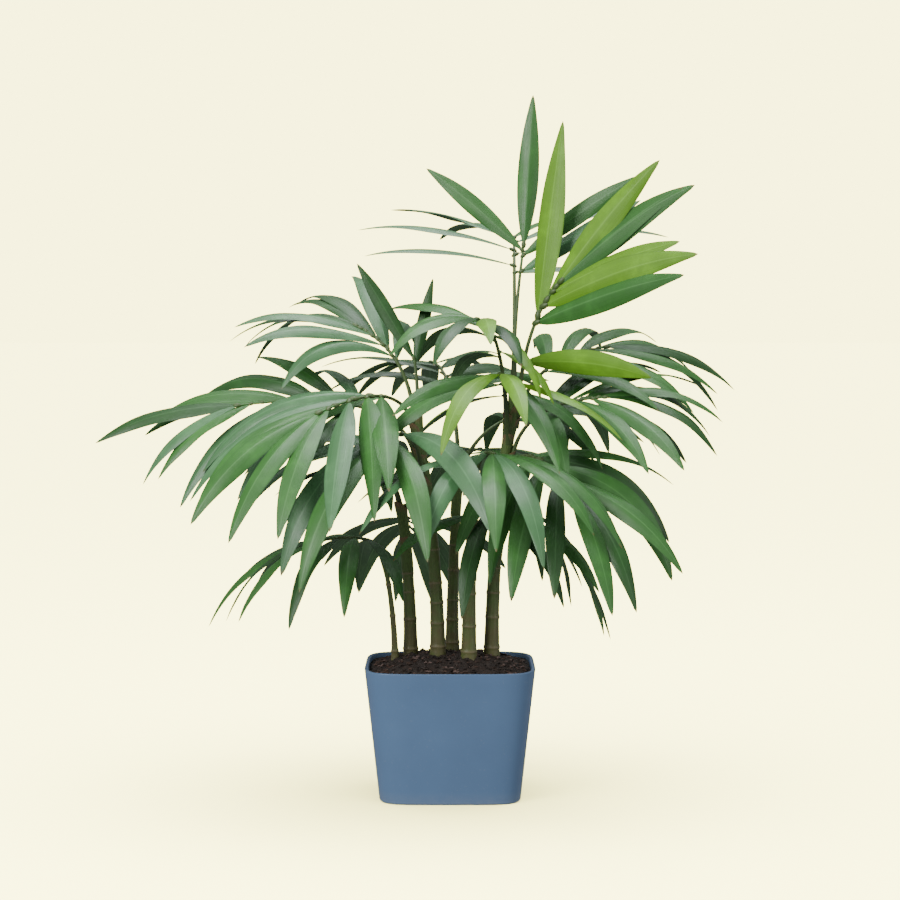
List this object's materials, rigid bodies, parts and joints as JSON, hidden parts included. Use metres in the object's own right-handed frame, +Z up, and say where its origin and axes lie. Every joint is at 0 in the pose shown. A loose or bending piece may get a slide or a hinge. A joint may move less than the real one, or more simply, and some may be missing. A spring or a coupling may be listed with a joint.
{
  "type": "potted bamboo palm",
  "caption": "Bushy potted bamboo palm: slim green canes with arching fronds of narrow leaflets, in a plain blue square tapered planter.",
  "frame": {"origin": "centre of the planter's flat underside, on the ground", "axes": "+Z up, -Y to the front as seen in the reference view, +X to the right of that view"},
  "size_m": [0.5864, 0.4839, 0.6357],
  "materials": {
    "planter": "satin",
    "soil": "rough",
    "cane": "satin",
    "leaf": "satin"
  },
  "bodies": {
    "root": {"cane_back": "cane", "cane_front": "cane", "cane_inner_left": "cane", "cane_left": "cane", "cane_middle": "cane", "cane_tall": "cane", "frond_back": "leaf", "frond_back_left": "leaf", "frond_back_low": "leaf", "frond_back_right": "leaf", "frond_back_top": "leaf", "frond_bright": "leaf", "frond_crest": "leaf", "frond_front_high": "leaf", "frond_front_low": "leaf", "frond_gold": "leaf", "frond_inner": "leaf", "frond_left_drop": "leaf", "frond_left_far": "leaf", "frond_left_front": "leaf", "frond_left_high": "leaf", "frond_left_low": "leaf", "frond_left_under": "leaf", "frond_left_upright": "leaf", "frond_right": "leaf", "frond_right_front": "leaf", "frond_right_high": "leaf", "frond_right_low": "leaf", "frond_top": "leaf", "planter": "planter", "soil": "soil"}
  },
  "joints": []
}
